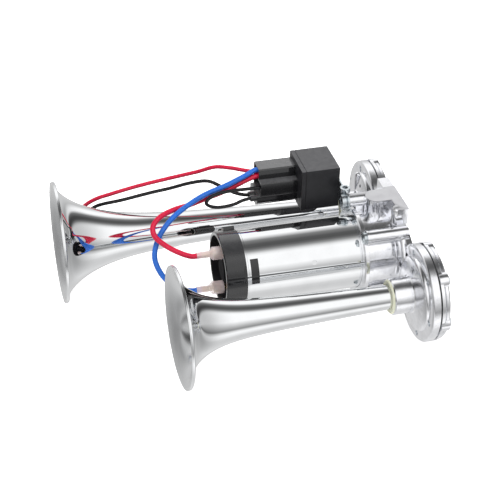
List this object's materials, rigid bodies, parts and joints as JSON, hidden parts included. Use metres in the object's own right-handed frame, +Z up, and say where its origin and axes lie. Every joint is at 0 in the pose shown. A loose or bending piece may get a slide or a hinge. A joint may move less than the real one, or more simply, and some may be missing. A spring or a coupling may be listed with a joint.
{
  "type": "car air horn",
  "caption": "Twin trumpet electric air horn: chrome bells on a cast manifold with diaphragm heads, a motor driven vane pump, a relay, its socket and leads.",
  "frame": {"origin": "mouth of the mounting hole in the boss under the pump, on the mounting face", "axes": "+X along the trumpets from their mouths to the heads, +Y towards the long trumpet, +Z up, out of the top"},
  "size_m": [0.2176, 0.1907, 0.0892],
  "materials": {
    "chrome": "polished",
    "seal_rubber": "matte",
    "cast_alloy": "semi-polished casting",
    "diaphragm_steel": "bright spring steel",
    "gasket_rubber": "matte",
    "cap_plate": "bright plated",
    "zinc_steel": "bluish zinc plate",
    "pump_steel": "ground",
    "carbon": "matte carbon",
    "sintered_bronze": "porous",
    "flange_steel": "bright plated",
    "cap_plastic": "satin black",
    "ferrite": "matte",
    "shaft_steel": "ground",
    "core_steel": "laminated",
    "copper": "enamelled",
    "card_board": "matte",
    "contact_brass": "bright",
    "clear_sleeve": "clear, pinkish",
    "relay_plastic": "matte black",
    "socket_plastic": "glossy black",
    "blue_insulation": "semi-gloss",
    "red_insulation": "semi-gloss",
    "black_insulation": "gloss",
    "tinned_copper": "tinned"
  },
  "bodies": {
    "housing": {"long_trumpet": "chrome", "short_trumpet": "chrome", "long_trumpet_seal": "seal_rubber", "short_trumpet_seal": "seal_rubber", "manifold": "cast_alloy", "rear_diaphragm": "diaphragm_steel", "front_diaphragm": "diaphragm_steel", "rear_gasket": "gasket_rubber", "front_gasket": "gasket_rubber", "rear_head_cap": "cap_plate", "front_head_cap": "cap_plate", "rear_head_screws": "zinc_steel", "front_head_screws": "zinc_steel", "pump_plate": "pump_steel", "intake_filter": "sintered_bronze", "motor_flange": "flange_steel", "flange_screws": "zinc_steel", "motor_can": "chrome", "motor_end_cap": "cap_plastic", "upper_magnet": "ferrite", "lower_magnet": "ferrite", "front_bearing": "sintered_bronze", "rear_bearing": "sintered_bronze", "brush_card": "card_board", "carbon_brushes": "carbon", "brush_springs": "contact_brass", "motor_terminals": "contact_brass", "upper_spade": "contact_brass", "lower_spade": "contact_brass", "upper_sleeve": "clear_sleeve", "lower_sleeve": "clear_sleeve", "relay": "relay_plastic", "relay_bracket": "zinc_steel", "bracket_screw": "zinc_steel", "relay_socket": "socket_plastic", "blue_motor_lead": "blue_insulation", "red_motor_lead": "red_insulation", "black_loop_lead": "black_insulation", "red_supply_lead": "red_insulation", "black_supply_lead": "black_insulation", "red_ring_terminal": "tinned_copper", "black_ring_terminal": "tinned_copper"},
    "rotor": {"motor_shaft": "shaft_steel", "armature_core": "core_steel", "armature_winding": "copper", "commutator": "copper", "pump_rotor": "pump_steel", "pump_vanes": "carbon"}
  },
  "joints": [
    {"name": "rotor_spin", "type": "hinge", "parent": "housing", "child": "rotor", "pos_m": [-0.05, 0, 0.0315], "axis": [1, 0, 0], "continuous": true}
  ]
}
